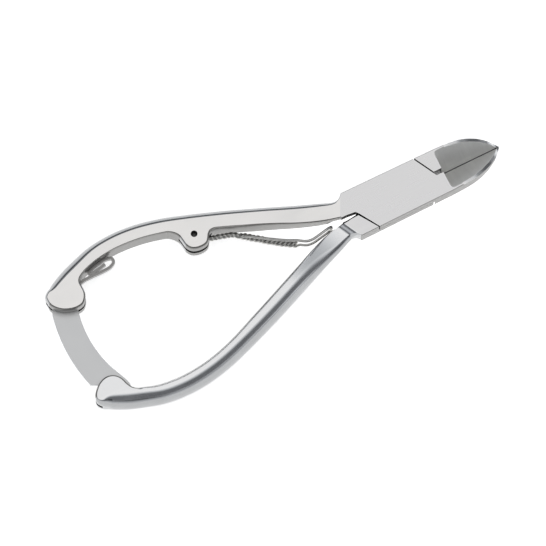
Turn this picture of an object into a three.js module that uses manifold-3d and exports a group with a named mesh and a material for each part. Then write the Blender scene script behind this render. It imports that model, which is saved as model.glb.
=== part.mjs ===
// Toenail nipper, 14 cm: lap-joint arms on one rivet, wire return spring, tail lock.
// Row frame: origin on the pivot axis at the back face of the joint, +X towards the cutting tip,
// +Y towards the arm that carries the spring, +Z out of the front face.  Millimetres.
// Inside the group z = 0 is the mid-plane of the tool, and the group is lifted by half the joint.
import * as THREE from 'three';
import { mergeVertices } from 'three/addons/utils/BufferGeometryUtils.js';
import Module from 'manifold-3d';

const wasm = await Module();
wasm.setup();

// Driving dimensions
const clearance = 0.3;
const jointHalf = 3.4;
const handleHalf = 4.9;
const plateHalfWidth = 7.1;
const shoulderRadius = 11.45;
const shoulderAngle = 28.4;
const jawStart = 15.4;
const jawTip = 34.4;
const hollowHalfWidth = 6.2;
const hollowDepth = 5.7;
const reliefHalf = 0.7;
const pivotPinRadius = 3;
const frontSkin = 1;
const edgeRounding = 0.6;

const slotHalf = 1.15;
const lugCentre = [-58.7, 15];
const springPinRadius = 0.7;
const springWireRadius = 0.4;
const springRopeRadius = 0.8;
const springWoundLegRadius = 0.7;
const springLoopHalf = 2.6;

const lockPivot = [-101.2, 15.2];
const lockPinRadius = 1.5;
const lockHeelRadius = 3.3;
const lockBarHalf = 0.85;
const catchPin = [-101.4, -15.6];
const catchPinRadius = 1;
const lockSpringThickness = 0.5;
const lockSpringHalf = 1;

// How far the cutting solids reach outside the tool
const cutStart = -30;
const cutEnd = jawTip + 4;
const cutSide = 12;
const cutHeight = 2 * handleHalf;

// Finishes
const ground = { color: 0xd7d7d8, roughness: 0.3, metalness: 1 };
const satin = { color: 0xc6c8ca, roughness: 0.45, metalness: 1 };
const pinSteel = { color: 0x9b9da0, roughness: 0.35, metalness: 1 };
const wireSteel = { color: 0xa9a8a2, roughness: 0.4, metalness: 1 };

const toRad = (degrees) => THREE.MathUtils.degToRad(degrees);
const point3 = ([x, y, z = 0]) => new THREE.Vector3(x, y, z);
const mirrorY = ([x, y]) => [x, -y];

function solid(geometry) {
  const bare = new THREE.BufferGeometry();
  bare.setAttribute('position', geometry.getAttribute('position'));
  if (geometry.index) {
    bare.setIndex(geometry.index);
  }
  const merged = mergeVertices(bare, 1e-4);
  const body = new wasm.Manifold(new wasm.Mesh({
    numProp: 3,
    vertProperties: new Float32Array(merged.attributes.position.array),
    triVerts: new Uint32Array(merged.index.array),
  }));
  return body;
}

function geometryOf(body) {
  const mesh = body.getMesh();
  const geometry = new THREE.BufferGeometry();
  geometry.setAttribute('position', new THREE.BufferAttribute(new Float32Array(mesh.vertProperties), 3));
  geometry.setIndex(new THREE.BufferAttribute(new Uint32Array(mesh.triVerts), 1));
  return geometry;
}

function outline(points) {
  return new THREE.Shape(points.map(([x, y]) => new THREE.Vector2(x, y)));
}

function smooth(points, steps) {
  const curve = new THREE.CatmullRomCurve3(points.map(point3), false, 'centripetal');
  return curve.getPoints(steps).map((p) => [p.x, p.y]);
}

function arc([x, y], radius, fromDegrees, toDegrees, steps) {
  const points = [];
  for (let i = 0; i <= steps; i += 1) {
    const angle = toRad(fromDegrees + ((toDegrees - fromDegrees) * i) / steps);
    points.push([x + radius * Math.cos(angle), y + radius * Math.sin(angle)]);
  }
  return points;
}

function prism(points, bottom, top) {
  const geometry = new THREE.ExtrudeGeometry(outline(points), { depth: top - bottom, bevelEnabled: false });
  return solid(geometry.translate(0, 0, bottom));
}

// A prism between -half and half whose two rims are rounded inwards by `rounding`
function roundedPrism(points, half, rounding) {
  const geometry = new THREE.ExtrudeGeometry(outline(points), {
    depth: 2 * (half - rounding),
    bevelThickness: rounding,
    bevelSize: rounding,
    bevelOffset: -rounding,
    bevelSegments: 2,
  });
  return solid(geometry.translate(0, 0, rounding - half));
}

function rod([x, y], radius, bottom, top, sides = 24) {
  const geometry = new THREE.CylinderGeometry(radius, radius, top - bottom, sides);
  return solid(geometry.rotateX(Math.PI / 2).translate(x, y, (top + bottom) / 2));
}

function box(xMin, xMax, yMin, yMax, half) {
  return prism([[xMin, yMin], [xMax, yMin], [xMax, yMax], [xMin, yMax]], -half, half);
}

// Closed skin over a row of rings that all have the same number of points
function loft(rings) {
  const count = rings[0].length;
  const positions = rings.flat().flatMap((p) => [p.x, p.y, p.z]);
  const index = [];
  for (let ring = 0; ring < rings.length - 1; ring += 1) {
    for (let i = 0; i < count; i += 1) {
      const a = ring * count + i;
      const b = ring * count + ((i + 1) % count);
      index.push(a, b, a + count, b, b + count, a + count);
    }
  }
  const last = (rings.length - 1) * count;
  for (let i = 1; i < count - 1; i += 1) {
    index.push(0, i + 1, i, last, last + i, last + i + 1);
  }
  const geometry = new THREE.BufferGeometry();
  geometry.setAttribute('position', new THREE.Float32BufferAttribute(positions, 3));
  geometry.setIndex(index);
  const body = solid(geometry);
  return body.volume() > 0 ? body : solid(flipped(geometry));
}

function flipped(geometry) {
  const turned = geometry.clone();
  const order = Array.from(geometry.index.array);
  for (let i = 0; i < order.length; i += 3) {
    [order[i], order[i + 1]] = [order[i + 1], order[i]];
  }
  turned.setIndex(order);
  return turned;
}

function tube(points, radius, steps, sides = 8) {
  const path = new THREE.CatmullRomCurve3(points.map(point3), false, 'centripetal');
  const section = new THREE.Shape(arc([0, 0], radius, 0, 360, sides).slice(0, -1).map(([x, y]) => (
    new THREE.Vector2(x, y))));
  return solid(new THREE.ExtrudeGeometry(section, { steps, extrudePath: path, bevelEnabled: false }));
}

function joined(...bodies) {
  return bodies.reduce((sum, body) => sum.add(body));
}

function turnedOver(body) {
  return body.rotate([180, 0, 0]);
}

// Handle: a bar of D section along matched inner and outer edges of its flat front face.
// Each station holds inner x, inner y, outer x, outer y, front height, back height and the bulge
// of the outer flank.  The other arm is the same bar turned over.
const handleStations = [
  [-105.2, 15.9, -105.5, 17.7, handleHalf, handleHalf, 1.1],
  [-101, 17.3, -101.9, 19.5, handleHalf, handleHalf, 1.6],
  [-96.8, 18.4, -97.8, 21.2, handleHalf, handleHalf, 1.8],
  [-92, 19.9, -93.1, 22.7, handleHalf, handleHalf, 1.8],
  [-87, 21.3, -87.7, 24.2, handleHalf, handleHalf, 1.8],
  [-80.5, 21.7, -80.5, 24.85, handleHalf, handleHalf, 1.8],
  [-74.5, 21.2, -73.8, 24.35, handleHalf, handleHalf, 1.8],
  [-67.5, 19.65, -66.2, 22.75, handleHalf, handleHalf, 1.8],
  [-60, 17.05, -58.5, 20.3, handleHalf, handleHalf, 1.75],
  [-50, 13, -48.4, 16.65, handleHalf, handleHalf, 1.7],
  [-40, 8.9, -38.3, 12.7, 4.85, 4.75, 1.6],
  [-30, 4.5, -28.2, 8.75, 4.4, 3.9, 1.45],
  [-22.5, 1.8, -21.2, 6.35, 3.7, 2.8, 1.2],
  [-17.6, 0.8, -17, 5.5, 3.4, 2.4, 0.8],
  [-13.5, 0.9, -13, 6, 3.4, 2.4, 0.4],
];
const innerBulge = 0.3;

function handleRing(inner, outer, shape) {
  const across = outer.clone().sub(inner);
  const width = across.length();
  across.normalize();
  const centre = (shape.x - shape.y) / 2;
  const half = (shape.x + shape.y) / 2;
  const ring = [];
  const flankPoint = (offset, angle) => {
    const p = inner.clone().addScaledVector(across, offset);
    p.z = centre + half * Math.sin(angle);
    ring.push(p);
  };
  for (let i = 0; i <= 6; i += 1) {
    const angle = toRad(90 - 30 * i);
    flankPoint(width + shape.z * Math.cos(angle), angle);
  }
  for (let i = 0; i <= 4; i += 1) {
    const angle = toRad(-90 + 45 * i);
    flankPoint(-innerBulge * Math.cos(angle), angle);
  }
  return ring;
}

function handle() {
  const curve = (pick) => new THREE.CatmullRomCurve3(handleStations.map((s) => point3(pick(s))));
  const inner = curve((s) => [s[0], s[1]]);
  const outer = curve((s) => [s[2], s[3]]);
  const shape = curve((s) => [s[4], s[5], s[6]]);
  const rings = [];
  const steps = 44;
  for (let i = 0; i <= steps; i += 1) {
    const u = i / steps;
    rings.push(handleRing(inner.getPoint(u), outer.getPoint(u), shape.getPoint(u)));
  }
  return loft(rings);
}

// Joint plate and jaws, both arms together: straight sides, then a pointed ogive
function plateOutline() {
  const nose = smooth([
    [16, 6.85], [20, 6.65], [23.7, 6.25], [26.5, 5.5], [29.4, 4.2], [32.1, 2.4], [jawTip, 0.05],
  ], 12);
  const upper = [[-17.4, 1.6], [-14.6, plateHalfWidth], [0, plateHalfWidth], ...nose];
  const lower = upper.map(mirrorY).reverse();
  return [...upper, ...lower];
}

// The arms' shoulders are straight lines that touch a circle round the pivot.  This gives the
// front-layer ground that belongs to the other arm, set back by `margin` from the parting lines.
function otherArmFront(margin) {
  const angle = toRad(shoulderAngle);
  const alongShoulder = [Math.sin(angle), -Math.cos(angle)];
  const onShoulder = (radius, distance) => [
    radius * Math.cos(angle) + alongShoulder[0] * distance,
    radius * Math.sin(angle) + alongShoulder[1] * distance,
  ];
  const near = shoulderRadius - margin;
  const outerEnd = onShoulder(near, -5);
  const relief = -Math.sign(margin) * reliefHalf;
  const innerEnd = onShoulder(near, (near * Math.sin(angle) - relief) / Math.cos(angle));
  const jawSide = [
    outerEnd, innerEnd, [jawStart, relief], [jawStart, -margin], [cutEnd, -margin],
    [cutEnd, cutSide],
  ];
  const slitEdge = margin > 0
    ? [[cutStart, 0.5], [-16, 0.4], [-13.2, 0.1]]
    : [[cutStart, -1.6], [-17.4, -1.6], [-15, -1.3]];
  const heelSide = [
    [-12.65 + margin, -1 + margin], [-8.65 + margin, -7.3], [-8, -cutSide], [cutStart, -cutSide],
    ...slitEdge,
  ];
  return [jawSide, heelSide];
}

// Everything that belongs to the other arm: its front ground, and behind the mid-plane whatever
// the turned-over front ground doesn't give to this arm.
function otherArmSpace() {
  const margin = clearance / 2;
  const [jawSide, heelSide] = otherArmFront(margin);
  const [ownJaw, ownHeel] = otherArmFront(-margin).map((ring) => ring.map(mirrorY).reverse());
  const front = joined(prism(jawSide, -margin, cutHeight), prism(heelSide, -margin, cutHeight));
  const behind = box(cutStart, cutEnd, -cutSide, cutSide, cutHeight)
    .translate([0, 0, margin - cutHeight])
    .subtract(prism(ownJaw, -3 * cutHeight, cutHeight))
    .subtract(prism(ownHeel, -3 * cutHeight, cutHeight));
  return joined(front, behind);
}

// V-shaped hollow ground into both jaws from the front, deepest along the cutting edges
function jawHollow() {
  const floor = jointHalf - hollowDepth;
  const slope = hollowDepth / hollowHalfWidth;
  const rise = 3;
  const section = [
    [0, floor], [hollowHalfWidth + rise / slope, jointHalf + rise],
    [-hollowHalfWidth - rise / slope, jointHalf + rise],
  ];
  const ringAt = (x) => section.map(([y, z]) => new THREE.Vector3(x, y, z));
  return loft([ringAt(jawStart), ringAt(cutEnd)]);
}

function armBlank() {
  const plate = prism(plateOutline(), -jointHalf, jointHalf);
  return joined(plate, handle());
}

const lugOutline = [
  [-66.5, 19.8],
  ...smooth([
    [-64.6, 18.6], [-63.2, 17.2], [-62.9, 15.6], [-62.4, 12.7], [-61.3, 11.3], [-59.6, 10.6],
    [-57.6, 10.5], [-56.2, 10.9], [-55.4, 11.8], [-54.7, 12.9], [-53.6, 13.9], [-52, 14],
  ], 24),
  [-50.5, 14.2], [-56, 19],
];

const upperTailOutline = [
  [-103, 19.3],
  ...smooth([
    [-105.9, 17.9], [-106.4, 16.6], [-106, 14.8], [-104.6, 12.6], [-102.4, 11], [-99.6, 10.3],
    [-96.9, 10.8], [-95.5, 12.2], [-95, 14.2], [-95.2, 16.4], [-94.2, 18.2], [-92, 20],
  ], 26),
  [-91, 21.5], [-98, 20.6],
];

const lowerTailOutline = [
  [-98, -20.6], [-91, -21.4],
  ...smooth([
    [-92.5, -20], [-95, -18.5], [-95.9, -16.6], [-96.9, -14],
    [-98.5, -12.3], [-100.3, -11.8], [-102.3, -12.1],
    [-104.4, -13.5], [-106, -15.6], [-106.4, -17.3], [-105.6, -18.3],
  ], 22),
  [-103, -19.3],
];

const upperSlotOutline = [
  [-110, 8], [-93, 8], [-93, 18.1], [-98.2, 18.3],
  ...arc(lockPivot, lockHeelRadius + clearance, 52, 150, 8), [-110, 16.2],
];

const lowerSlotOutline = [[-110, -18.6], [-102, -18.9], [-93, -18.9], [-93, -9], [-110, -9]];

function upperArm() {
  const tail = roundedPrism(upperTailOutline, handleHalf, edgeRounding);
  const lug = roundedPrism(lugOutline, handleHalf, edgeRounding);
  const pinTop = handleHalf - frontSkin;
  return joined(armBlank(), tail, lug)
    .subtract(otherArmSpace())
    .subtract(jawHollow())
    .subtract(prism(upperSlotOutline, -slotHalf, slotHalf))
    .subtract(box(-64.5, -53, 9, lugCentre[1] + 2.9, slotHalf))
    .subtract(rod(lugCentre, springPinRadius + clearance, -cutHeight, cutHeight))
    .subtract(rod(lockPivot, lockPinRadius + clearance, -cutHeight, pinTop + clearance))
    .subtract(rod([0, 0], pivotPinRadius + clearance, -cutHeight, jointHalf - frontSkin, 32));
}

function lowerArm() {
  const tail = roundedPrism(lowerTailOutline, handleHalf, edgeRounding);
  const pinTop = handleHalf - frontSkin;
  return joined(turnedOver(armBlank()), tail)
    .subtract(turnedOver(otherArmSpace()))
    .subtract(jawHollow())
    .subtract(prism(lowerSlotOutline, -slotHalf, slotHalf))
    .subtract(rod(catchPin, catchPinRadius + clearance, -cutHeight, pinTop + clearance))
    .subtract(rod([0, 0], pivotPinRadius + clearance, -cutHeight, jointHalf, 32));
}

const ropePath = [[-57.4, 14.3], [-54.1, 12.5], [-49.7, 11.2], [-47.6, 10.3], [-46.2, 9.2]];

const nearLegPath = [
  [-47, 9.8, 0.3], [-43.2, 7.3, 0.9], [-39, 4.3, 1.6], [-35.2, 1.8, 2.2], [-33, 0.6, 2.5],
];

const nearLoopPath = [
  [-34, 1.1, 2.35], [-32.1, 0.1, springLoopHalf], [-30, -1.2, springLoopHalf],
  [-28.3, -1.55, springLoopHalf], [-25.6, -1.2, springLoopHalf], [-22.6, -0.65, springLoopHalf],
  [-21.5, -0.45, 1.8], [-21.3, -0.4, -0.1],
];

// One wire: an eye round the lug pin, strands laid together as a rope, then two legs that fan
// out to a closed loop which bears on the other handle.
function spring() {
  const eyeRadius = springPinRadius + clearance + springWireRadius;
  const eye = solid(new THREE.TorusGeometry(eyeRadius, springWireRadius, 8, 20)
    .translate(lugCentre[0], lugCentre[1], 0));
  const rope = tube(ropePath, springRopeRadius, 12);
  const leg = (side, radius) => {
    const onSide = ([x, y, z]) => [x, y, z * side];
    return joined(
      tube(nearLegPath.map(onSide), radius, 12),
      tube(nearLoopPath.map(onSide), springWireRadius, 20),
    );
  };
  return joined(eye, rope, leg(1, springWireRadius), leg(-1, springWoundLegRadius));
}

// Flat crescent, hooked over the catch pin from the inside of the loop and free to swing inwards
function lockBar() {
  const outerEdge = arc([-60.2, 2], 47.35, 167, 196.4, 10);
  const innerEdge = arc([-66, 2.5], 33.85, 200.5, 166, 10);
  const points = [
    ...arc(lockPivot, lockHeelRadius, 20, 150, 8),
    ...outerEdge,
    [-103.4, -12.2], [-103.1, -15.4], ...arc(catchPin, catchPinRadius + clearance, 180, 0, 8),
    [-99.9, -17.6], [-97.4, -18], [-95.1, -17.2], [-95.6, -14.2],
    ...innerEdge,
  ];
  return prism(points, -lockBarHalf, lockBarHalf)
    .subtract(rod(lockPivot, lockPinRadius + clearance, -slotHalf, slotHalf));
}

// Hairpin strip that lies under the handle and presses on the heel of the lock bar
function lockSpring() {
  const path = new THREE.CatmullRomCurve3([
    [-95.6, 17.25], [-93, 17.5], [-88.5, 17.6], [-85.8, 17.8], [-84, 18.7], [-84, 19.9], [-86, 20.2],
    [-89, 19.6], [-90.8, 18.95], [-90.6, 18.45], [-88.6, 18.65], [-86.3, 19.1],
  ].map(point3), false, 'centripetal');
  const steps = 40;
  const side = (offset) => {
    const points = [];
    for (let i = 0; i <= steps; i += 1) {
      const p = path.getPointAt(i / steps);
      const t = path.getTangentAt(i / steps);
      points.push([p.x - t.y * offset, p.y + t.x * offset]);
    }
    return points;
  };
  const half = lockSpringThickness / 2;
  return prism([...side(half), ...side(-half).reverse()], -lockSpringHalf, lockSpringHalf);
}

function node(name, body, finish) {
  const mesh = new THREE.Mesh(geometryOf(body), new THREE.MeshStandardMaterial(finish));
  mesh.name = name;
  return mesh;
}

const pinBottom = -handleHalf + 0.15;
const blindTop = handleHalf - frontSkin;
const pivotTop = jointHalf - frontSkin - clearance;
const nipper = new THREE.Group();
nipper.position.z = jointHalf;
nipper.add(
  node('upper_arm', upperArm(), ground),
  node('lower_arm', lowerArm(), ground),
  node('pivot_pin', rod([0, 0], pivotPinRadius, -jointHalf, pivotTop, 32), pinSteel),
  node('spring', spring(), wireSteel),
  node('spring_pin', rod(lugCentre, springPinRadius, pinBottom, handleHalf - 0.7, 16), pinSteel),
  node('lock_bar', lockBar(), satin),
  node('lock_pivot_pin', rod(lockPivot, lockPinRadius, pinBottom, blindTop), pinSteel),
  node('lock_catch_pin', rod(catchPin, catchPinRadius, pinBottom, blindTop, 16), pinSteel),
  node('lock_spring', lockSpring(), satin),
);

export default nipper;
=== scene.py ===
"""Toenail nipper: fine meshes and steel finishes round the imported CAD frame.

Shapes are worked out in millimetres in the tool's own plan: x along the tool with the pivot at 0,
y across it, z from the mid-plane.  place() turns them into metres in the row frame.
"""
import math

import bmesh
import bpy
from mathutils import Matrix, Vector
from mathutils.geometry import tessellate_polygon


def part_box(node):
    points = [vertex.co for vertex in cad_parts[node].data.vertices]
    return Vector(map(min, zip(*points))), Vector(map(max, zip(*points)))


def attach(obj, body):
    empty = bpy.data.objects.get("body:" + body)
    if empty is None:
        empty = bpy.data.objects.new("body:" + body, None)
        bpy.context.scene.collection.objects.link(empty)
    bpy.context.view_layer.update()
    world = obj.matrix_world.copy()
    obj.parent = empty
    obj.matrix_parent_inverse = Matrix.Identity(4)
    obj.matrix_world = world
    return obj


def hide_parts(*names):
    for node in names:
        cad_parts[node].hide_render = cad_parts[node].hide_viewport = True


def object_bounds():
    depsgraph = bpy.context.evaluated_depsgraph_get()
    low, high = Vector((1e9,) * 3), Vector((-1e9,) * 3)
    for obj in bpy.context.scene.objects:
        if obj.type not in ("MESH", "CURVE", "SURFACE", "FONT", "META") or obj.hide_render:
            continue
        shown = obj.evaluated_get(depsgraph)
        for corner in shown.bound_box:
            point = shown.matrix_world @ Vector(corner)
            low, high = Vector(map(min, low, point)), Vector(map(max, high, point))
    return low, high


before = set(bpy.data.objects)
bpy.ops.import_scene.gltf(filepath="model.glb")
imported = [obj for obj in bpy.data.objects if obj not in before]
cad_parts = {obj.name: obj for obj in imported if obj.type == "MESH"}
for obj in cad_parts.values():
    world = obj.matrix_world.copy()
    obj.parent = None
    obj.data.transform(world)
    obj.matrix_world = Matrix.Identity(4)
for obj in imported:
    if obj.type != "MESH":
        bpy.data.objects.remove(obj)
cad_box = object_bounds()

MM = 0.001


def node_centre(node):
    low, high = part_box(node)
    return (low + high) / 2 / MM


def half_height(node):
    low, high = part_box(node)
    return (high.z - low.z) / 2 / MM


MID = node_centre("upper_arm").z
HANDLE_HALF = half_height("upper_arm")
JOINT_HALF = MID
JAW_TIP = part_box("upper_arm")[1].x / MM
LUG = node_centre("spring_pin").to_2d()
LOCK_PIVOT = node_centre("lock_pivot_pin").to_2d()
CATCH = node_centre("lock_catch_pin").to_2d()

PLATE_HALF_WIDTH = 7.1
SHOULDER_RADIUS = 11.45
SHOULDER_ANGLE = math.radians(28.4)
JAW_START = 15.4
RELIEF = 0.7
SLOT_HALF = 1.15
HOLLOW_HALF_WIDTH = 6.2
HOLLOW_DEPTH = 5.7
HOLLOW_FLOOR = JOINT_HALF - HOLLOW_DEPTH
HOLLOW_SLOPE = HOLLOW_DEPTH / HOLLOW_HALF_WIDTH
PIVOT = (0, 0)


# ---------------------------------------------------------------- mesh helpers

def place(point):
    x, y, z = point
    return (x * MM, y * MM, (z + MID) * MM)


def mesh_object(name, points, faces, material, smooth=True):
    mesh = bpy.data.meshes.new(name)
    mesh.from_pydata([place(p) for p in points], [], faces)
    mesh.validate()
    piece = bpy.data.objects.new(name, mesh)
    bpy.context.scene.collection.objects.link(piece)
    mesh.materials.append(material)
    bm = bmesh.new()
    bm.from_mesh(mesh)
    bmesh.ops.recalc_face_normals(bm, faces=bm.faces)
    bm.to_mesh(mesh)
    bm.free()
    if smooth:
        mesh.shade_smooth()
    return piece


def arc(centre, radius, start, stop, steps):
    turn = [math.radians(start + (stop - start) * i / steps) for i in range(steps + 1)]
    return [(centre[0] + radius * math.cos(a), centre[1] + radius * math.sin(a)) for a in turn]


def spline(points, step):
    """Centripetal Catmull-Rom through the points, sampled about every step; any number of columns."""
    rows = [Vector(p) for p in points]
    rows = [2 * rows[0] - rows[1]] + rows + [2 * rows[-1] - rows[-2]]
    result = []
    for a, b, c, d in zip(rows, rows[1:], rows[2:], rows[3:]):
        knots = [0.0]
        for first, second in ((a, b), (b, c), (c, d)):
            knots.append(knots[-1] + max((second - first).length, 1e-4) ** 0.5)
        count = max(1, math.ceil((c - b).length / step))
        for i in range(count):
            t = knots[1] + (knots[2] - knots[1]) * i / count
            result.append(catmull(a, b, c, d, knots, t))
    result.append(rows[-2])
    return result


def catmull(a, b, c, d, k, t):
    def mix(p, q, k0, k1):
        return (p * (k1 - t) + q * (t - k0)) / (k1 - k0)

    ab, bc, cd = mix(a, b, k[0], k[1]), mix(b, c, k[1], k[2]), mix(c, d, k[2], k[3])
    return mix(mix(ab, bc, k[0], k[2]), mix(bc, cd, k[1], k[3]), k[1], k[2])


def smoothstep(value, low, high):
    t = min(1.0, max(0.0, (value - low) / (high - low)))
    return t * t * (3 - 2 * t)


def prism(name, points, low, high, material):
    count = len(points)
    verts = [(x, y, low) for x, y in points] + [(x, y, high) for x, y in points]
    faces = [tuple(range(count)), tuple(range(count, 2 * count))]
    faces += [(i, (i + 1) % count, count + (i + 1) % count, count + i) for i in range(count)]
    return mesh_object(name, verts, faces, material, smooth=False)


def lathe(name, centre, profile, material, sides=64):
    """profile is a list of (radius, z) from the bottom of the axis to its top."""
    verts, faces = [], []
    for radius, z in profile:
        for i in range(sides):
            angle = 2 * math.pi * i / sides
            verts.append((centre[0] + radius * math.cos(angle), centre[1] + radius * math.sin(angle), z))
    for ring in range(len(profile) - 1):
        for i in range(sides):
            a, b = ring * sides + i, ring * sides + (i + 1) % sides
            faces.append((a, b, b + sides, a + sides))
    faces.append(tuple(range(sides)))
    faces.append(tuple(range(len(verts) - sides, len(verts))))
    return mesh_object(name, verts, faces, material)


TUBE_END_SHARE = 0.72


def tube_parts(path, radius, sides=14, start=0):
    """Round tube along 3-D points; returns points and faces, whose indices begin at start."""
    verts, faces = [], []
    side = Vector((0, 0, 1))
    for i, p in enumerate(path):
        tangent = (path[min(i + 1, len(path) - 1)] - path[max(i - 1, 0)]).normalized()
        side = (side - tangent * side.dot(tangent)).normalized()
        other = tangent.cross(side)
        thin = TUBE_END_SHARE if i in (0, len(path) - 1) else 1.0
        for k in range(sides):
            angle = 2 * math.pi * k / sides
            verts.append(p + (side * math.cos(angle) + other * math.sin(angle)) * radius * thin)
    for i in range(len(path) - 1):
        for k in range(sides):
            a, b = start + i * sides + k, start + i * sides + (k + 1) % sides
            faces.append((a, b, b + sides, a + sides))
    faces.append(tuple(start + k for k in range(sides)))
    faces.append(tuple(start + len(verts) - sides + k for k in range(sides)))
    return [tuple(v) for v in verts], faces


def cut(piece, cutters):
    """Cuts the closed cutters out of the piece; cut faces keep the cutter's material."""
    for cutter in cutters:
        modifier = piece.modifiers.new(cutter.name, "BOOLEAN")
        modifier.operation = "DIFFERENCE"
        modifier.solver = "EXACT"
        modifier.object = cutter
        modifier.material_mode = "TRANSFER"
    graph = bpy.context.evaluated_depsgraph_get()
    mesh = bpy.data.meshes.new_from_object(piece.evaluated_get(graph))
    piece.modifiers.clear()
    piece.data = mesh
    for cutter in cutters:
        bpy.data.objects.remove(cutter)


def finish_edges(piece, angle=28):
    piece.data.shade_smooth()
    piece.data.set_sharp_from_angle(angle=math.radians(angle))
    modifier = piece.modifiers.new("even_normals", "WEIGHTED_NORMAL")
    modifier.keep_sharp = True
    modifier.weight = 50


def hand_in(piece, body, slot, *nodes):
    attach(piece, body)
    if nodes:
        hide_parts(*nodes)


# ---------------------------------------------------------------- materials

WORN_AND_HIGHLIT_EDGE = 0.25
WORN_GLOSS = 0.1
GRAIN_SPAN = 40
NOISE_RANGE = (0.6, 1.4)
EDGE_RANGE = (0.99, 0.85)


def map_range(nodes, source, target):
    """Map Range node between two pairs of values."""
    node = nodes.new("ShaderNodeMapRange")
    node.inputs["From Min"].default_value, node.inputs["From Max"].default_value = source
    node.inputs["To Min"].default_value, node.inputs["To Max"].default_value = target
    return node


def steel(name, colour, roughness, grain, bump, tint=0.06, spread=0.08, metallic=1.0):
    """Stainless steel: cloudy tone, fine lines along one direction, uneven gloss, and edges lightened partly
    by wear and partly as a painted highlight.
    """
    material = bpy.data.materials.new(name)
    material.use_nodes = True
    nodes, links = material.node_tree.nodes, material.node_tree.links
    shader = nodes["Principled BSDF"]
    shader.inputs["Metallic"].default_value = metallic

    position = nodes.new("ShaderNodeTexCoord")
    stretch = nodes.new("ShaderNodeMapping")
    stretch.inputs["Scale"].default_value = [g / MM / GRAIN_SPAN for g in grain]
    lines = nodes.new("ShaderNodeTexNoise")
    lines.inputs["Scale"].default_value = 1.0
    lines.inputs["Detail"].default_value = 6.0
    lines.inputs["Roughness"].default_value = 0.7
    cloud = nodes.new("ShaderNodeTexNoise")
    cloud.inputs["Scale"].default_value = 0.12 / MM
    cloud.inputs["Detail"].default_value = 3.0
    links.new(position.outputs["Object"], stretch.inputs["Vector"])
    links.new(stretch.outputs["Vector"], lines.inputs["Vector"])
    links.new(position.outputs["Object"], cloud.inputs["Vector"])

    both = nodes.new("ShaderNodeMath")
    both.operation = "ADD"
    links.new(lines.outputs["Fac"], both.inputs[0])
    links.new(cloud.outputs["Fac"], both.inputs[1])

    tone = map_range(nodes, NOISE_RANGE, (1.0 - tint, 1.0))
    links.new(both.outputs[0], tone.inputs["Value"])
    paint = nodes.new("ShaderNodeMix")
    paint.data_type = "RGBA"
    paint.blend_type = "MULTIPLY"
    paint.inputs["Factor"].default_value = 1.0
    paint.inputs["A"].default_value = (*colour, 1)
    links.new(tone.outputs["Result"], paint.inputs["B"])

    # An edge is where the surface's own direction differs from the direction averaged around it; edges are
    # lightened in patches, partly as wear and partly as a painted highlight
    surface = nodes.new("ShaderNodeNewGeometry")
    around = nodes.new("ShaderNodeBevel")
    around.samples = 6
    around.inputs["Radius"].default_value = WORN_AND_HIGHLIT_EDGE * MM
    turn = nodes.new("ShaderNodeVectorMath")
    turn.operation = "DOT_PRODUCT"
    links.new(surface.outputs["Normal"], turn.inputs[0])
    links.new(around.outputs["Normal"], turn.inputs[1])
    rubbed_and_highlit = map_range(nodes, EDGE_RANGE, (0.0, 1.0))
    links.new(turn.outputs["Value"], rubbed_and_highlit.inputs["Value"])
    patchy_wear_and_highlight = nodes.new("ShaderNodeMath")
    patchy_wear_and_highlight.operation = "MULTIPLY"
    links.new(rubbed_and_highlit.outputs["Result"], patchy_wear_and_highlight.inputs[0])
    links.new(cloud.outputs["Fac"], patchy_wear_and_highlight.inputs[1])
    # Lighter colour on the edges: partly wear, partly a painted highlight
    wear_and_highlight = nodes.new("ShaderNodeMix")
    wear_and_highlight.data_type = "RGBA"
    wear_and_highlight.inputs["B"].default_value = (*(min(0.95, 1.3 * channel + 0.04) for channel in colour), 1)
    links.new(patchy_wear_and_highlight.outputs[0], wear_and_highlight.inputs["Factor"])
    links.new(paint.outputs["Result"], wear_and_highlight.inputs["A"])
    links.new(wear_and_highlight.outputs["Result"], shader.inputs["Base Color"])

    gloss = map_range(nodes, NOISE_RANGE, (roughness - spread / 2, roughness + spread / 2))
    links.new(both.outputs[0], gloss.inputs["Value"])
    smoothed = nodes.new("ShaderNodeMath")
    smoothed.operation = "MULTIPLY_ADD"
    smoothed.inputs[1].default_value = -WORN_GLOSS
    links.new(patchy_wear_and_highlight.outputs[0], smoothed.inputs[0])
    links.new(gloss.outputs["Result"], smoothed.inputs[2])
    links.new(smoothed.outputs[0], shader.inputs["Roughness"])

    relief = nodes.new("ShaderNodeBump")
    relief.inputs["Strength"].default_value = bump
    relief.inputs["Distance"].default_value = 0.02 * MM
    links.new(lines.outputs["Fac"], relief.inputs["Height"])
    links.new(relief.outputs["Normal"], shader.inputs["Normal"])
    return material


FACE = steel("satin_face", (0.93, 0.915, 0.9), 0.3, grain=(1.2, 40, 40), bump=0.25, spread=0.1)
PLATE = steel("fine_plate", (0.81, 0.805, 0.81), 0.28, grain=(2, 40, 40), bump=0.1, spread=0.06)
# Side walls in a darker copy of the face steel: painted shade on the flanks
FLANK_PAINTED_SHADE = steel("polished_flank_painted_shade", (0.47, 0.475, 0.48), 0.2, grain=(1, 30, 30), bump=0.08, tint=0.14)
# Walls facing the other arm, and the joint plate's side wall, darker still: painted shade between the arms
INNER_FLANK_PAINTED_SHADE = steel("satin_inner_flank_painted_shade", (0.27, 0.265, 0.255), 0.3, grain=(1, 20, 20), bump=0.15, tint=0.2)
CROWN = steel("polished_crown", (0.88, 0.885, 0.895), 0.23, grain=(1, 30, 30), bump=0.1, tint=0.08)
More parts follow.
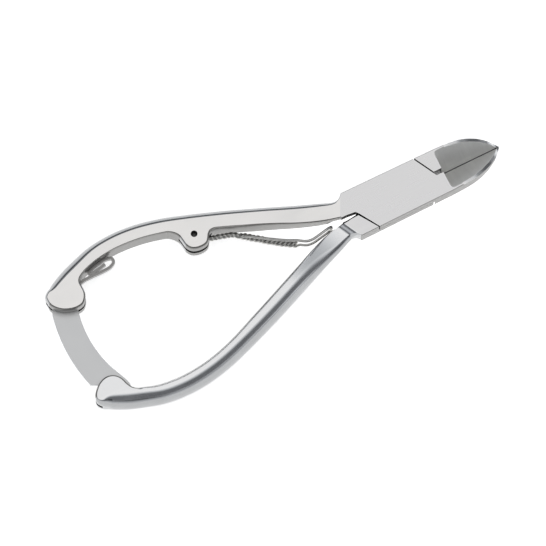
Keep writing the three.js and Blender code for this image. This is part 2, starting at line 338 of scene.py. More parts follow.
# Near-black on every cut face (slots, bores, the edge groove, the lap joint): painted shade in recesses and
# between the arms
CUT_PAINTED_SHADE = steel("cut_painted_shade", (0.06, 0.06, 0.06), 0.4, grain=(20, 20, 1), bump=0.3)
HOLLOW = steel("ground_hollow", (0.86, 0.855, 0.83), 0.5, grain=(30, 2, 2), bump=0.6, tint=0.2, metallic=0.4)
LAND = steel("jaw_land", (0.8, 0.8, 0.8), 0.2, grain=(2, 30, 30), bump=0.1)
BAR = steel("satin_bar", (0.72, 0.725, 0.73), 0.36, grain=(40, 1.2, 40), bump=0.25)
# Spring strip darkened well below the steel's own tone: painted shade on its sides
STRIP_PAINTED_SHADE = steel("spring_strip_painted_shade", (0.3, 0.295, 0.29), 0.25, grain=(1, 20, 20), bump=0.15, tint=0.2)
WIRE = steel("spring_wire", (0.72, 0.71, 0.685), 0.36, grain=(6, 6, 6), bump=0.2, tint=0.15)
# Pins darkened to the look of their shadowed bores: painted shade; the spring pin in its deep hole nearly
# black
PIN_PAINTED_SHADE = steel("pin_steel", (0.3, 0.3, 0.3), 0.3, grain=(12, 12, 12), bump=0.2)
PIN_PAINTED_BLACK_SHADE = steel("pin_steel_painted_black_shade", (0.08, 0.08, 0.08), 0.4, grain=(12, 12, 12), bump=0.2)


# ---------------------------------------------------------------- arms

# The rim of an arm's flat face, in loops of (x, y, swell, round): swell is how far the side wall
# stands out beyond the flat face, round is the share of the half height that its edge rounding takes.
# A break between loops is a sharp corner.  The upper arm is drawn; the lower one is turned over.
PLATE_SWELL, PLATE_ROUND = 0.14, 0.05
WALL_ROUND = 0.16
NOSE = [
    (JAW_TIP - 0.2, 0.0, 0.14, 0.08), (32.0, 2.1, 0.3, 0.12), (29.2, 3.95, 0.35, 0.16),
    (26.3, 5.2, 0.35, 0.16), (23.5, 6.0, 0.3, 0.12), (20, 6.47, 0.2, 0.08),
    (16, 6.7, PLATE_SWELL, PLATE_ROUND),
]
PLATE_CORNER = (-14.5, PLATE_HALF_WIDTH - PLATE_SWELL, PLATE_SWELL, PLATE_ROUND)
OUTER_EDGE = [
    (-14.75, 6.75, 0.14, 0.1), (-15.4, 5.95, 0.3, 0.4), (-16.6, 5.35, 0.6, 0.8), (-18.4, 5.45, 0.9, 1),
    (-21.2, 6.3, 1.2, 1), (-28.2, 8.75, 1.45, 1), (-38.3, 12.7, 1.6, 1), (-48.4, 16.65, 1.7, 1),
    (-58.5, 20.3, 1.75, 1), (-66.2, 22.75, 1.8, 1), (-73.8, 24.35, 1.8, 1), (-80.5, 24.83, 1.8, 1),
    (-87.7, 24.2, 1.8, 1), (-93.1, 22.7, 1.8, 1), (-97.8, 21.1, 1.75, 1), (-101.9, 19.4, 1.5, 1),
    (-104.4, 18.2, 1.1, 0.8), (-105.6, 17.2, 0.75, 0.5),
]
UPPER_BULB = [
    (-105.7, 16.2, 0.6, 0.3), (-105.5, 14.8, 0.55, WALL_ROUND), (-104.6, 13.4, 0.5, WALL_ROUND),
    (-103.1, 12.1, 0.5, WALL_ROUND), (-101.1, 11.2, 0.5, WALL_ROUND), (-99.2, 10.85, 0.5, WALL_ROUND),
    (-97.3, 11.15, 0.5, WALL_ROUND), (-96.1, 12.4, 0.5, WALL_ROUND), (-95.55, 13.8, 0.5, WALL_ROUND),
    (-95.55, 15.4, 0.5, WALL_ROUND), (-95.55, 16.9, 0.5, WALL_ROUND), (-94.9, 18.2, 0.45, WALL_ROUND),
    (-93.6, 19.1, 0.4, 0.2),
]
LOWER_BULB = [
    (-105.8, 16.6, 0.6, 0.3), (-105.5, 15.6, 0.55, WALL_ROUND), (-104.6, 14.4, 0.5, WALL_ROUND),
    (-103.2, 13.2, 0.5, WALL_ROUND), (-101.6, 12.5, 0.5, WALL_ROUND), (-100, 12.4, 0.5, WALL_ROUND),
    (-98.5, 12.95, 0.5, WALL_ROUND), (-97.2, 14.4, 0.5, WALL_ROUND), (-96.4, 16.6, 0.5, WALL_ROUND),
    (-95.6, 18.1, 0.45, WALL_ROUND), (-94.2, 19.2, 0.4, 0.2),
]
INNER_REAR = [
    (-91.8, 19.9, 0.3, 0.25), (-88, 20.95, 0.3, 0.3), (-84, 21.5, 0.3, 0.3), (-80.5, 21.65, 0.3, 0.3),
    (-76, 21.4, 0.3, 0.3), (-72, 20.85, 0.3, 0.3), (-68, 19.95, 0.3, 0.3),
]
LUG_EDGE = [
    (-65.1, 19.1, 0.35, 0.25), (-63.5, 17.9, 0.45, 0.2), (-62.6, 16.6, 0.5, WALL_ROUND),
    (-62.3, 15.2, 0.5, WALL_ROUND), (-61.85, 12.9, 0.5, WALL_ROUND), (-60.95, 11.75, 0.5, WALL_ROUND),
    (-59.5, 11.15, 0.5, WALL_ROUND), (-57.8, 11.05, 0.5, WALL_ROUND), (-56.6, 11.35, 0.5, WALL_ROUND),
    (-55.85, 12.15, 0.5, WALL_ROUND), (-55.15, 13.25, 0.5, WALL_ROUND), (-54.1, 14.1, 0.45, 0.2),
    (-52.8, 14.2, 0.4, 0.25),
]
INNER_PLAIN = [(-64, 18.75, 0.3, 0.3), (-60, 17.3, 0.3, 0.3), (-55, 15.25, 0.3, 0.3)]
INNER_FRONT = [
    (-50, 13.25, 0.3, 0.3), (-45, 11.2, 0.3, 0.3), (-40, 9.15, 0.3, 0.3), (-35, 7, 0.3, 0.3),
    (-30, 4.75, 0.3, 0.3), (-25, 2.85, 0.3, 0.25), (-22, 1.9, 0.25, 0.2), (-20, 1.35, 0.2, 0.15),
    (-17.6, 0.75, 0.1, 0.05),
]

# The slanting end of the joint plate: a point on it, and the direction away from it on the handle
SHOULDER = (-17.4, 1.6)
SHOULDER_WAY = (-0.891, 0.454)
SHOULDER_CUTS = [0.05 + 0.2 * i for i in range(10)] + [2.4 + 0.8 * i for i in range(31)]
FLAT_SIDE_RISE = (2.0, 26.0)
STEP_DEPTH, STEP_RUN = 1.4, 2.2
FLANK_WIDENING, TAIL_WIDENING = 0.35, 0.4


def rim_loop(bulb, inner):
    """Closed list of rim points (x, y, swell, round), whose outer flank is widened into the face."""
    corner = (PLATE_CORNER[0], PLATE_CORNER[1])
    nose_low = [(x, -y, s, r) for x, y, s, r in NOSE][::-1]
    runs = [
        spline(NOSE, 0.5) + [Vector(PLATE_CORNER)],
        spline(OUTER_EDGE + bulb + inner, 0.45),
        [
            Vector((SHOULDER[0], -SHOULDER[1], 0.05, PLATE_ROUND)),
            Vector((corner[0] - 0.1, -corner[1], 0.1, PLATE_ROUND)),
        ],
        [Vector((corner[0], -corner[1], PLATE_SWELL, PLATE_ROUND))] + spline(nose_low, 0.5)[:-1],
    ]
    rim = [p for run in runs for p in run]
    directions = [outward(rim, i) for i in range(len(rim))]
    for p, n in zip(rim, directions):
        full = FLANK_WIDENING + TAIL_WIDENING * (1 - smoothstep(p[0], -96, -84))
        widen = full * smoothstep(p[3], 0.75, 1.0)
        p[0] -= n.x * widen
        p[1] -= n.y * widen
        p[2] += widen
    return rim


def outward(rim, i):
    """Direction out of the outline at one rim point, longer at a corner so that offsets stay parallel."""
    before, here, after = rim[i - 1].to_2d(), rim[i].to_2d(), rim[(i + 1) % len(rim)].to_2d()
    a, b = (here - before).normalized(), (after - here).normalized()
    first, second = Vector((a.y, -a.x)), Vector((b.y, -b.x))
    mean = (first + second).normalized()
    return mean / max(0.5, mean.dot(first))


def past_shoulder(x, y):
    """Distance from the slanting end of the joint plate, positive on the handle."""
    return (x - SHOULDER[0]) * SHOULDER_WAY[0] + (y - SHOULDER[1]) * SHOULDER_WAY[1]


def flush_height(x, y):
    """Half height on the front, which runs from the joint into the handle without a step."""
    rise = smoothstep(past_shoulder(x, y), *FLAT_SIDE_RISE)
    return JOINT_HALF + (HANDLE_HALF - JOINT_HALF) * rise


def stepped_height(x, y):
    """Half height on the back, which drops at the shoulder and then rises to the handle."""
    s = past_shoulder(x, y)
    drop = STEP_DEPTH * smoothstep(s, 0.05, STEP_RUN)
    rise = smoothstep(s, STEP_RUN, FLAT_SIDE_RISE[1])
    return JOINT_HALF - drop + (HANDLE_HALF - JOINT_HALF + STEP_DEPTH) * rise


ARM_MATERIALS = (FACE, FLANK_PAINTED_SHADE, PLATE, INNER_FLANK_PAINTED_SHADE, CROWN)
FACE_SLOT, FLANK_PAINTED_SHADE_SLOT, PLATE_SLOT, INNER_PAINTED_SHADE_SLOT, CROWN_SLOT = range(5)
CROWN_START = math.radians(25)
CROWN_STEPS = (0.2, 0.4, 0.6, 0.8, 1.0)
NARROWEST_CROWN = 0.08
OUTER_REACH, OUTER_DROP = 1.6, 0.13
INNER_REACH, INNER_DROP = 0.5, 0.11
WALL_STEPS = 12
THINNEST_WALL = 1e-3


def crown(p):
    """Rounding of the flat back face: reach in from the rim, share of the height, curvature."""
    x, y = p[0], p[1]
    along = smoothstep(past_shoulder(x, y), 3, 16) * smoothstep(x, -106.5, -101)
    outer = smoothstep(p[3], 0.35, 0.95)
    inner = 0 if y < -1.7 or x > -18 else along * smoothstep(p[3], 0.2, 0.3)
    reach = INNER_REACH * inner + (OUTER_REACH * along - INNER_REACH * inner) * outer
    drop = INNER_DROP * inner + (OUTER_DROP * along - INNER_DROP * inner) * outer
    return NARROWEST_CROWN + reach, drop, 1.1 + 0.7 * outer


def skin_rings(rim, directions):
    """Rings of points from the front rim round the wall to the back one; heights are shares of 1."""
    crowns = [crown(p) for p in rim]
    verts = []
    for k in range(WALL_STEPS + 1):
        angle = math.pi / 2 * (k / WALL_STEPS) ** 1.4
        out, up = math.sin(angle), math.cos(angle)
        for p, n in zip(rim, directions):
            wall = max(THINNEST_WALL, 1 - p[3] + p[3] * up)
            verts.append((p[0] + n.x * out * p[2], p[1] + n.y * out * p[2], wall))
    start_out, start_up = math.sin(CROWN_START), math.cos(CROWN_START)
    for k in range(WALL_STEPS, -1, -1):
        angle = CROWN_START + (math.pi / 2 - CROWN_START) * k / WALL_STEPS
        out, up = (math.sin(angle) - start_out) / (1 - start_out), math.cos(angle) / start_up
        for p, n, (_, drop, _) in zip(rim, directions, crowns):
            wall = max(THINNEST_WALL, 1 - p[3] + p[3] * up) * (1 - drop)
            verts.append((p[0] + n.x * out * p[2], p[1] + n.y * out * p[2], -wall))
    for share in CROWN_STEPS:
        for p, n, (inset, drop, power) in zip(rim, directions, crowns):
            reach = inset * share
            verts.append((p[0] - n.x * reach, p[1] - n.y * reach, -1 + drop * (1 - share) ** power))
    return verts


def skin_faces(verts, count):
    """Quads between the rings, then the triangles that fill the first ring and the last."""
    last = len(verts) - count
    faces = []
    for start in range(0, last, count):
        for i in range(count):
            a, b = start + i, start + (i + 1) % count
            faces.append((a, b, b + count, a + count))
    for first, turn in ((0, 1), (last, -1)):
        flat = [Vector((*verts[first + i][:2], 0)) for i in range(count)]
        faces += [tuple(first + i for i in t[::turn]) for t in tessellate_polygon([flat])]
    return faces


def arm_blank(name, rim):
    """Closed skin: flat faces filled inside the rim, walls swept from the front edge to the back."""
    count = len(rim)
    directions = [outward(rim, i) for i in range(count)]
    verts = skin_rings(rim, directions)
    mesh = bpy.data.meshes.new(name)
    mesh.from_pydata(verts, [], skin_faces(verts, count))
    wall_faces = (2 * WALL_STEPS + 1) * count
    bm = bmesh.new()
    bm.from_mesh(mesh)
    bm.faces.ensure_lookup_table()
    for i, face in enumerate(bm.faces[:wall_faces]):
        column, ring = i % count, i // count
        # Walls facing the other arm and the joint plate's side wall get the darker painted shade; the other
        # walls get the flank's painted shade
        faces_in = directions[column].y < -0.2 and rim[column].x < -18
        on_plate = rim[column].x > -14.6
        face.material_index = INNER_PAINTED_SHADE_SLOT if faces_in or on_plate else FLANK_PAINTED_SHADE_SLOT
        if rim[column][3] > 0.99 and ring > 2 * WALL_STEPS - 2:
            face.material_index = CROWN_SLOT
    for face in bm.faces[wall_faces:]:
        centre = face.calc_center_median()
        face.material_index = FACE_SLOT if centre.z > 0 else CROWN_SLOT
        if past_shoulder(centre.x, centre.y) < 0:
            face.material_index = PLATE_SLOT
    shoulder = Vector((*SHOULDER, 0))
    along = Vector((*SHOULDER_WAY, 0))
    for distance in SHOULDER_CUTS:
        geometry = bm.verts[:] + bm.edges[:] + bm.faces[:]
        bmesh.ops.bisect_plane(bm, geom=geometry, plane_co=shoulder + along * distance, plane_no=along)
    for face in bm.faces:
        centre = face.calc_center_median()
        ahead = past_shoulder(centre.x, centre.y) < 0
        if face.material_index == PLATE_SLOT and not ahead:
            face.material_index = FACE_SLOT if centre.z > 0 else CROWN_SLOT
        if face.material_index in (FACE_SLOT, CROWN_SLOT) and ahead:
            face.material_index = PLATE_SLOT
    for v in bm.verts:
        height = flush_height if v.co.z > 0 else stepped_height
        v.co.z *= height(v.co.x, v.co.y)
    bmesh.ops.recalc_face_normals(bm, faces=bm.faces)
    bm.to_mesh(mesh)
    bm.free()
    piece = bpy.data.objects.new(name, mesh)
    bpy.context.scene.collection.objects.link(piece)
    for material in ARM_MATERIALS:
        mesh.materials.append(material)
    return piece


def turn_over(points):
    return [(x, -y) for x, y in points][::-1]


LAP_GAP, SIDE_GAP, EDGE_GAP = 0.1, 0.2, 0.03
HEEL_FOOT, HEEL_EDGE = (-12.65, 1), (-8.65, 7.3)


def other_jaw(margin):
    """Plan area in front of the mid-plane that belongs to the other arm's jaw, grown by margin."""
    relief = -math.copysign(RELIEF, margin)
    edge = -math.copysign(EDGE_GAP, margin)
    across = Vector((math.cos(SHOULDER_ANGLE), math.sin(SHOULDER_ANGLE)))
    along = Vector((across.y, -across.x))
    foot = across * (SHOULDER_RADIUS - margin)
    outer = foot - along * 5
    inner = foot + along * ((foot.y - relief) / -along.y)
    far = JAW_TIP + 4
    return [tuple(outer), tuple(inner), (JAW_START, relief), (JAW_START, edge), (far, edge), (far, 12)]


def parting_cutters(name):
    """Half of the lap joint that the other arm fills, with a fine gap all round."""
    deep = 3 * HANDLE_HALF
    heel = [
        (HEEL_FOOT[0] + SIDE_GAP, SIDE_GAP - HEEL_FOOT[1]), (HEEL_EDGE[0] + SIDE_GAP, -HEEL_EDGE[1]),
        (-8, -12), (-30, -12), (-30, 0.5), (-16, 0.4), (-13.2, 0.1),
    ]
    own_jaw = turn_over(other_jaw(-SIDE_GAP))
    far = own_jaw[0][0]
    behind = [
        (-30, -12), (-30, SHOULDER[1]), SHOULDER, (-15, 1.3),
        (HEEL_FOOT[0] - SIDE_GAP, HEEL_FOOT[1] + SIDE_GAP), (HEEL_EDGE[0] - SIDE_GAP, HEEL_EDGE[1]),
        (-8, 12), (far, 12), *own_jaw[1:], (own_jaw[-1][0], -12),
    ]
    return [
        prism(name + "_cut_jaw", other_jaw(SIDE_GAP), -LAP_GAP, deep, CUT_PAINTED_SHADE),
        prism(name + "_cut_heel", heel, -LAP_GAP, deep, CUT_PAINTED_SHADE),
        prism(name + "_cut_behind", behind, -deep, LAP_GAP, CUT_PAINTED_SHADE),
    ]


def jaw_hollow(name):
    """V-shaped hollow ground from the front, with a small fillet at its start."""
    rise, fillet = 3.0, 1.6
    stations = [
        (JAW_START, 0.0), (JAW_START + 0.05, 0.5), (JAW_START + 0.35, 0.85), (JAW_START + 1.1, 1.0),
        (JAW_TIP + 5, 1.0),
    ]
    sections = []
    for x, share in stations:
        lift = (1 - share) * fillet
        half = HOLLOW_HALF_WIDTH + (rise - lift) / HOLLOW_SLOPE
        sections.append([
            (x, 0, HOLLOW_FLOOR + lift), (x, half, JOINT_HALF + rise), (x, -half, JOINT_HALF + rise),
        ])
    verts = [p for ring in sections for p in ring]
    faces = [(0, 2, 1)]
    for ring in range(len(sections) - 1):
        for i in range(3):
            a, b = ring * 3 + i, ring * 3 + (i + 1) % 3
            faces.append((a, b, b + 3, a + 3))
    last = len(verts) - 3
    faces.append((last, last + 1, last + 2))
    return mesh_object(name, verts, faces, HOLLOW, smooth=False)


def nose_width(x):
    """Half width of the jaws' front rim at x."""
    points = sorted(NOSE)
    for a, b in zip(points, points[1:]):
        if a[0] <= x <= b[0]:
            return a[1] + (b[1] - a[1]) * (x - a[0]) / (b[0] - a[0])
    return 0.0


LAND_WIDTH = 0.55
LAND_START = 19
LAND_STEPS = 24


def jaw_land(name):
    """Cuts the front of the jaws down towards the tip and leaves a narrow land outside the hollow."""
    end = JAW_TIP + 1
    curve = []
    for i in range(LAND_STEPS + 1):
        x = LAND_START + (end - LAND_START) * i / LAND_STEPS
        reach = max(0.0, nose_width(min(x, JAW_TIP - 0.3)) - LAND_WIDTH)
        curve.append((x, min(HOLLOW_FLOOR + HOLLOW_SLOPE * reach, JOINT_HALF + 0.05)))
    top, side = JOINT_HALF + 4, 12
    ring = [(LAND_START, top)] + curve + [(end, top)]
    count = len(ring)
    verts = [(x, -side, z) for x, z in ring] + [(x, side, z) for x, z in ring]
    faces = [tuple(range(count)), tuple(range(count, 2 * count))]
    faces += [(i, (i + 1) % count, count + (i + 1) % count, count + i) for i in range(count)]
    return mesh_object(name, verts, faces, LAND, smooth=False)


GROOVE_HALF = 0.42


def edge_groove(name):
    """Narrow relief along the meeting cutting edges, its faces painted near-black as shade."""
    foot, mouth = HOLLOW_FLOOR - 0.1, HOLLOW_FLOOR + 0.6
    ring = [(0.0, foot), (GROOVE_HALF, mouth), (-GROOVE_HALF, mouth)]
    verts = [(x, y, z) for x in (JAW_START + 0.4, JAW_TIP + 5) for y, z in ring]
    faces = [(0, 1, 2), (3, 4, 5), (0, 1, 4, 3), (1, 2, 5, 4), (2, 0, 3, 5)]
    return mesh_object(name, verts, faces, CUT_PAINTED_SHADE, smooth=False)


HOLE_LIP = 0.18
WIDE_STRETCH = 3


def hole(name, centre, radius, low, high):
    """Bore from low to high, a little wider near the top if it ends above the joint plate."""
    profile = [(radius, low), (radius, high)]
    if high > JOINT_HALF:
        wide = high - WIDE_STRETCH
        profile = [
            (radius, low), (radius, wide - HOLE_LIP), (radius + HOLE_LIP, wide), (radius + HOLE_LIP, high),
        ]
    return lathe(name, centre, profile, CUT_PAINTED_SHADE)


TO_ROW_FRAME = Matrix.Translation((0, 0, MID * MM))
HALF_TURN = Matrix.Rotation(math.pi, 4, "X")

UPPER_SLOT = [
    (-110, 8), (-93, 8), (-93, 18.1), (-98.2, 18.3), *arc(LOCK_PIVOT, 3.6, 52, 150, 16), (-110, 16.2),
]
LOWER_SLOT = [(-110, -18.6), (-102, -18.9), (-93, -18.9), (-93, -9), (-110, -9)]
LUG_SLOT = [(-63.1, 9), (-53.6, 9), (-53.6, 17.9), (-63.1, 17.9)]
THROUGH = 2 * HANDLE_HALF
BLIND_SKIN = 1
RIVET_BORE = 3.05
LOCK_PIVOT_BORE = 1.56
CATCH_BORE = 1.06
LUG_BORE = 1.0

upper_arm = arm_blank("upper_arm_fine", rim_loop(UPPER_BULB, INNER_REAR + LUG_EDGE + INNER_FRONT))
upper_arm.data.transform(TO_ROW_FRAME @ Matrix.Scale(MM, 4))
cut(upper_arm, parting_cutters("upper") + [
    jaw_land("upper_land"),
    jaw_hollow("upper_hollow"),
    edge_groove("upper_groove"),
    prism("upper_slot", UPPER_SLOT, -SLOT_HALF, SLOT_HALF, CUT_PAINTED_SHADE),
    prism("lug_slot", LUG_SLOT, -SLOT_HALF, SLOT_HALF, CUT_PAINTED_SHADE),
    hole("lug_hole", LUG, LUG_BORE, -THROUGH, THROUGH),
    hole("lock_pivot_hole", LOCK_PIVOT, LOCK_PIVOT_BORE, -THROUGH, HANDLE_HALF - BLIND_SKIN),
    hole("rivet_hole", PIVOT, RIVET_BORE, -THROUGH, JOINT_HALF - BLIND_SKIN),
])
finish_edges(upper_arm)
hand_in(upper_arm, "upper_arm", "arm_steel", "upper_arm")

lower_arm = arm_blank("lower_arm_fine", rim_loop(LOWER_BULB, INNER_REAR + INNER_PLAIN + INNER_FRONT))
lower_cutters = parting_cutters("lower")
for cutter in lower_cutters:
    cutter.data.transform(TO_ROW_FRAME @ HALF_TURN @ Matrix.Translation((0, 0, -MID * MM)))
lower_arm.data.transform(TO_ROW_FRAME @ Matrix.Scale(MM, 4) @ HALF_TURN)
cut(lower_arm, lower_cutters + [
    jaw_land("lower_land"),
    jaw_hollow("lower_hollow"),
    edge_groove("lower_groove"),
    prism("lower_slot", LOWER_SLOT, -SLOT_HALF, SLOT_HALF, CUT_PAINTED_SHADE),
    hole("catch_hole", CATCH, CATCH_BORE, -THROUGH, HANDLE_HALF - BLIND_SKIN),
    hole("rivet_bore", PIVOT, RIVET_BORE, -THROUGH, JOINT_HALF),
])
finish_edges(lower_arm)
hand_in(lower_arm, "lower_arm", "arm_steel", "lower_arm")


# ---------------------------------------------------------------- pins

def pin(node, body, centre, radius, low, high, chamfer=0.15, metal=PIN_PAINTED_SHADE):
    """Chamfered pin that stands for the CAD node; low and high are its ends."""
    narrow = radius - chamfer
    profile = [(narrow, low), (radius, low + chamfer), (radius, high - chamfer), (narrow, high)]
    piece = lathe(node + "_fine", centre, profile, metal)
    finish_edges(piece)
    hand_in(piece, body, "pin_steel", node)


TAIL_PIN_ENDS = (-HANDLE_HALF + 0.05, HANDLE_HALF - 1.05)
pin("pivot_pin", "upper_arm", PIVOT, 3.0, -JOINT_HALF, JOINT_HALF - 1.3, chamfer=0.05)
pin("spring_pin", "upper_arm", LUG, 0.7, -HANDLE_HALF + 0.15, HANDLE_HALF - 1.9, metal=PIN_PAINTED_BLACK_SHADE)
pin("lock_pivot_pin", "upper_arm", LOCK_PIVOT, 1.5, *TAIL_PIN_ENDS)
pin("lock_catch_pin", "lower_arm", CATCH, 1.0, *TAIL_PIN_ENDS)


# ---------------------------------------------------------------- lock bar and its spring

BEVEL_ANGLE = 40


def bevelled(piece, width):
    modifier = piece.modifiers.new("edge_bevel", "BEVEL")
    modifier.width = width * MM
    modifier.segments = 3
    modifier.limit_method = "ANGLE"
    modifier.angle_limit = math.radians(BEVEL_ANGLE)
    finish_edges(piece, BEVEL_ANGLE)


BAR_HALF = half_height("lock_bar")
bar_shoulder = spline([(-103.4, -12.4), (-103.35, -13.8), (-103.05, -15.2)], 0.4)
bar_nose = spline([
    (-99.7, -17.6), (-98.6, -17.95), (-97.2, -18), (-95.9, -17.75), (-95.2, -17), (-95.15, -15.8),
    (-95.6, -14.2),
], 0.3)
bar_outline = [
    *arc(LOCK_PIVOT, 3.28, 20, 150, 20), *arc((-60.2, 2), 47.33, 167, 196.4, 40),
    *[tuple(p) for p in bar_shoulder], *arc(CATCH, 1.3, 180, 0, 20), (-100.05, -16.9),
    *[tuple(p) for p in bar_nose], *arc((-66, 2.5), 33.87, 200, 166, 40),
]
bore = [(LOCK_PIVOT_BORE, -2 * BAR_HALF), (LOCK_PIVOT_BORE, 2 * BAR_HALF)]
lock_bar = prism("lock_bar_fine", bar_outline, -BAR_HALF, BAR_HALF, BAR)
cut(lock_bar, [lathe("bar_hole", LOCK_PIVOT, bore, BAR)])
bevelled(lock_bar, 0.16)
hand_in(lock_bar, "tail_lock", "lock_steel", "lock_bar")

STRIP_HALF_HEIGHT, STRIP_HALF_THICKNESS = 1, 0.42
strip_path = spline([
    (-95.6, 17.2), (-93.4, 17.75), (-90.5, 17.8), (-87, 17.75), (-84.6, 18), (-83.2, 18.9), (-83.3, 20.1),
    (-84.9, 20.6), (-87.5, 20.25), (-90.2, 19.6), (-91.3, 19), (-90.4, 18.6), (-88.2, 18.85), (-85.8, 19.35),
], 0.25)


def ribbon(path, half):
    """Outline of a strip of even thickness that follows the path."""
    left, right = [], []
    for i, p in enumerate(path):
        t = (path[min(i + 1, len(path) - 1)] - path[max(i - 1, 0)]).normalized()
        left.append((p.x - t.y * half, p.y + t.x * half))
        right.append((p.x + t.y * half, p.y - t.x * half))
    return left + right[::-1]


strip_outline = ribbon(strip_path, STRIP_HALF_THICKNESS)
lock_spring = prism("lock_spring_fine", strip_outline, -STRIP_HALF_HEIGHT, STRIP_HALF_HEIGHT, STRIP_PAINTED_SHADE)
bevelled(lock_spring, 0.1)
hand_in(lock_spring, "upper_arm", "lock_steel", "lock_spring")


# ---------------------------------------------------------------- return spring

STRAND, WOUND_STRAND = 0.39, 0.48
STRAND_PITCH, WOUND_RADIUS = 3.84, 0.66
ROPE_RADIUS = STRAND / math.cos(math.radians(30))
EYE_RADIUS = 1.36
LOOP_HALF = 2.6
PATH_STEP = 0.12
rope_plan = [(-57.4, 14.3, 0), (-54.1, 12.5, 0), (-49.7, 11.2, 0), (-47.6, 10.3, 0), (-46.9, 9.75, 0)]
leg_plan = [(-46.9, 9.75, 0), (-43.2, 7.3, 0.9), (-39, 4.3, 1.6), (-35.2, 1.8, 2.2), (-33, 0.6, 2.5)]
loop_plan = [
    (-33, 0.6, 2.5), (-32.1, 0.1, LOOP_HALF), (-30, -1.2, LOOP_HALF), (-28.3, -1.55, LOOP_HALF),
    (-25.6, -1.2, LOOP_HALF), (-22.9, -0.7, 2.55), (-21.65, -0.48, 1.95), (-21.3, -0.4, 0.9),
    (-21.3, -0.4, 0),
]


def lengths(path):
    """Length along the path at each of its points."""
    total, result = 0.0, [0.0]
    for a, b in zip(path, path[1:]):
        total += (b - a).length
        result.append(total)
    return result


def coiled(path, radius, angle):
    """Path wound round another one; radius and angle are functions of the length along it."""
    result = []
    for i, (p, s) in enumerate(zip(path, lengths(path))):
        t = (path[min(i + 1, len(path) - 1)] - path[max(i - 1, 0)]).normalized()
        side = (Vector((0, 0, 1)) - t * t.z).normalized()
        other = t.cross(side)
        result.append(p + (side * math.cos(angle(s)) + other * math.sin(angle(s))) * radius(s))
    return result


def far_side(points):
    return [(x, y, -z) for x, y, z in points]


rope = spline(rope_plan, PATH_STEP)
far_leg = spline(far_side(leg_plan), PATH_STEP)
far_loop = spline(far_side(loop_plan), PATH_STEP)
near_leg = spline(leg_plan, PATH_STEP)
near_loop = spline(loop_plan, PATH_STEP)
bend = lengths(rope)[-1]
leg_length = lengths(far_leg)[-1]


def strand_angle(start):
    """Turn of a strand along the wire; its hand changes at the bend, where the legs part."""
    def angle(s):
        before, after = min(s, bend), max(0.0, s - bend)
        return math.radians(start) + 2 * math.pi * (before - after) / STRAND_PITCH
    return angle


def wound_radius(s):
    return ROPE_RADIUS + (WOUND_RADIUS - ROPE_RADIUS) * smoothstep(s, bend, bend + 2)


def far_radius(s):
    return wound_radius(s) * (1 - smoothstep(s, bend + leg_length, bend + leg_length + 2))


def near_radius(s):
    return ROPE_RADIUS * (1 - smoothstep(s, bend - 0.5, bend + 3))


far_path = rope + far_leg[1:] + far_loop[1:]
near_path = rope + near_leg[1:] + near_loop[1:]
wound_end = len(rope) + len(far_leg) + 6
second_start = len(rope) + 4
far_wire = coiled(far_path, far_radius, strand_angle(0))
near_wire = coiled(near_path, near_radius, strand_angle(240))
first_tail = coiled(far_path[:wound_end], wound_radius, strand_angle(120))
second_tail = coiled(
    far_path[second_start:wound_end],
    lambda s: wound_radius(s + bend),
    lambda s: strand_angle(240)(s + bend + 0.5),
)
eye = [Vector((*point, 0)) for point in arc(LUG, EYE_RADIUS, -60, 282, 57)]

spring_verts, spring_faces = [], []
strands = [
    (near_wire + far_wire[::-1][1:], STRAND), (first_tail, WOUND_STRAND), (second_tail, WOUND_STRAND),
    (eye, STRAND),
]
for path, thickness in strands:
    verts, faces = tube_parts(path, thickness, start=len(spring_verts))
    spring_verts += verts
    spring_faces += faces
spring = mesh_object("spring_fine", spring_verts, spring_faces, WIRE)
finish_edges(spring, 50)
hand_in(spring, "return_spring", "spring_wire", "spring")


# ---------------------------------------------------------------- camera, light and floor

# A long lens far away, which shows the tool with hardly any perspective
AIM = Vector((-43.1, -5.6, 2 * JOINT_HALF)) * MM
AZIMUTH, ELEVATION = math.radians(-26.5), math.radians(77)
LENS_ANGLE = math.radians(4)
CAMERA_DISTANCE = 2.2927
camera_back = Vector((
    math.sin(AZIMUTH) * math.cos(ELEVATION), -math.cos(AZIMUTH) * math.cos(ELEVATION), math.sin(ELEVATION),
)).normalized()
camera_data = bpy.data.cameras.new("camera")
camera_data.lens_unit = "FOV"
camera_data.angle = LENS_ANGLE
camera_data.clip_start = 0.1
camera = bpy.data.objects.new("camera", camera_data)
camera.location = AIM + camera_back * CAMERA_DISTANCE
camera.rotation_euler = (-camera_back).to_track_quat("-Z", "Y").to_euler()
bpy.context.scene.collection.objects.link(camera)
bpy.context.scene.camera = camera


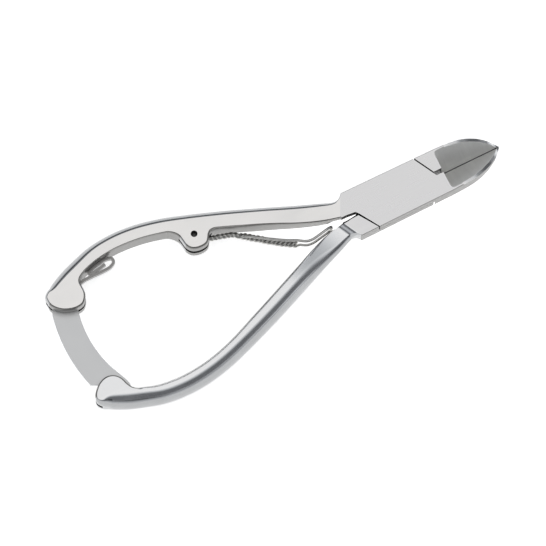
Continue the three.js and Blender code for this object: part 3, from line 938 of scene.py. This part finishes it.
# A studio dome: bright overhead, darker half way down, pale again towards the table
world = bpy.data.worlds.new("studio")
bpy.context.scene.world = world
world.use_nodes = True
world_nodes, world_links = world.node_tree.nodes, world.node_tree.links
backdrop = world_nodes["Background"]
direction = world_nodes.new("ShaderNodeTexCoord")
split = world_nodes.new("ShaderNodeSeparateXYZ")
dome = world_nodes.new("ShaderNodeValToRGB")
world_links.new(direction.outputs["Generated"], split.inputs["Vector"])
world_links.new(split.outputs["Z"], dome.inputs["Fac"])
world_links.new(dome.outputs["Color"], backdrop.inputs["Color"])
bands = [
    (0.0, (0.9, 0.92, 0.95)), (0.2, (0.72, 0.74, 0.77)), (0.34, (0.13, 0.134, 0.142)),
    (0.74, (0.11, 0.114, 0.122)), (0.87, (0.58, 0.6, 0.62)), (0.94, (0.92, 0.92, 0.92)),
    (1.0, (0.95, 0.945, 0.94)),
]
dome.color_ramp.elements[0].position, dome.color_ramp.elements[1].position = bands[0][0], bands[-1][0]
for height, _ in bands[1:-1]:
    dome.color_ramp.elements.new(height)
for element, (_, colour) in zip(dome.color_ramp.elements, bands):
    element.color = (*colour, 1)
backdrop.inputs["Strength"].default_value = 1.0

bpy.context.scene.view_settings.view_transform = "Standard"

# Pale paper that gives off a little light of its own, just under the tool's lowest point
FLOOR_GAP = 0.05
FLOOR_HALF = 2
PAPER_GLOW = 0.78
paper = bpy.data.materials.new("paper")
paper.use_nodes = True
paper_shader = paper.node_tree.nodes["Principled BSDF"]
paper_shader.inputs["Base Color"].default_value = (0.9, 0.9, 0.9, 1)
paper_shader.inputs["Roughness"].default_value = 0.9
paper_shader.inputs["Emission Color"].default_value = (1, 1, 1, 1)
paper_shader.inputs["Emission Strength"].default_value = PAPER_GLOW
floor_mesh = bpy.data.meshes.new("floor")
floor_level = cad_box[0].z - FLOOR_GAP * MM
corners = [(-1, -1), (1, -1), (1, 1), (-1, 1)]
floor_points = [(x * FLOOR_HALF, y * FLOOR_HALF, floor_level) for x, y in corners]
floor_mesh.from_pydata(floor_points, [], [(0, 1, 2, 3)])
floor_mesh.materials.append(paper)
floor = bpy.data.objects.new("floor", floor_mesh)
bpy.context.scene.collection.objects.link(floor)
